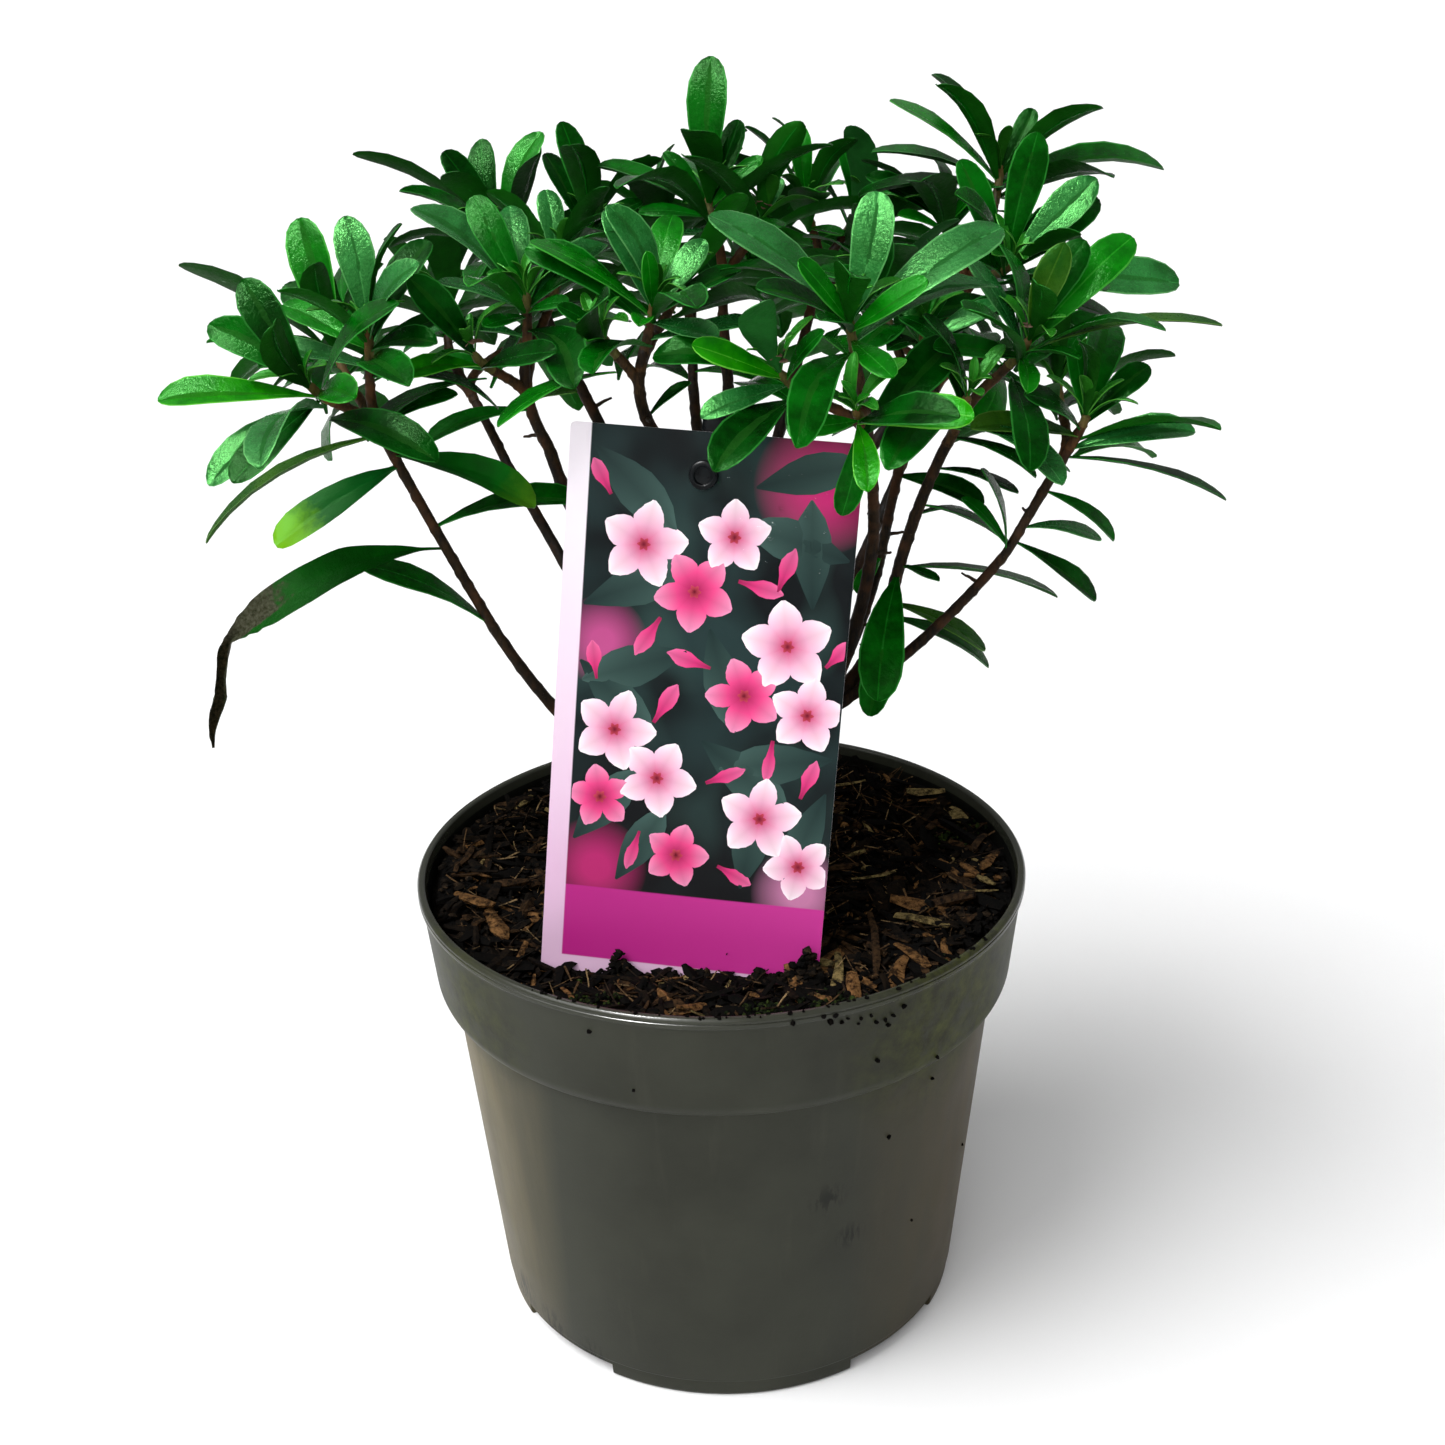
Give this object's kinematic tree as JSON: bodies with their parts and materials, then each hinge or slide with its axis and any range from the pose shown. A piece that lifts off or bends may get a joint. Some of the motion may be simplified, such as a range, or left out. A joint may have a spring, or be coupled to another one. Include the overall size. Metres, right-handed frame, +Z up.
{
  "type": "potted daphne",
  "caption": "Small evergreen shrub with glossy narrow leaves in whorls on bare brown stems, in a round plastic nursery pot with a plant label.",
  "frame": {"origin": "centre of the pot's flat underside", "axes": "+Z up along the pot's axis, -Y towards the label's printed side, +X to the right seen from the label's side"},
  "size_m": [0.2963, 0.2464, 0.3846],
  "materials": {
    "pot": "satin",
    "soil": "matt, crumbly",
    "label_card": "printed",
    "label_peg": "satin",
    "bark": "rough bark",
    "foliage": "glossy leaf"
  },
  "bodies": {
    "root": {"pot": "pot", "soil": "soil", "label_card": "label_card", "label_peg": "label_peg", "trunk": "bark", "bough_left": "bark", "bough_centre": "bark", "bough_right": "bark", "bough_back": "bark", "bough_low_back_left": "bark", "bough_low_back_right": "bark", "bough_centre_left": "bark", "bough_middle": "bark", "bough_front": "bark", "bough_right_stem": "bark", "bough_inner_right": "bark", "bough_far_right": "bark", "bough_upper_right": "bark", "bough_top": "bark", "bough_back_left": "bark", "bough_back_right": "bark", "bough_far_back": "bark", "foliage_left": "foliage", "foliage_centre_left": "foliage", "foliage_middle": "foliage", "foliage_top": "foliage", "foliage_front": "foliage", "foliage_inner_right": "foliage", "foliage_right": "foliage", "foliage_far_right": "foliage", "foliage_upper_right": "foliage", "foliage_back_left": "foliage", "foliage_back_right": "foliage", "foliage_far_back": "foliage", "foliage_low_back_left": "foliage", "foliage_low_back_right": "foliage"}
  },
  "joints": []
}
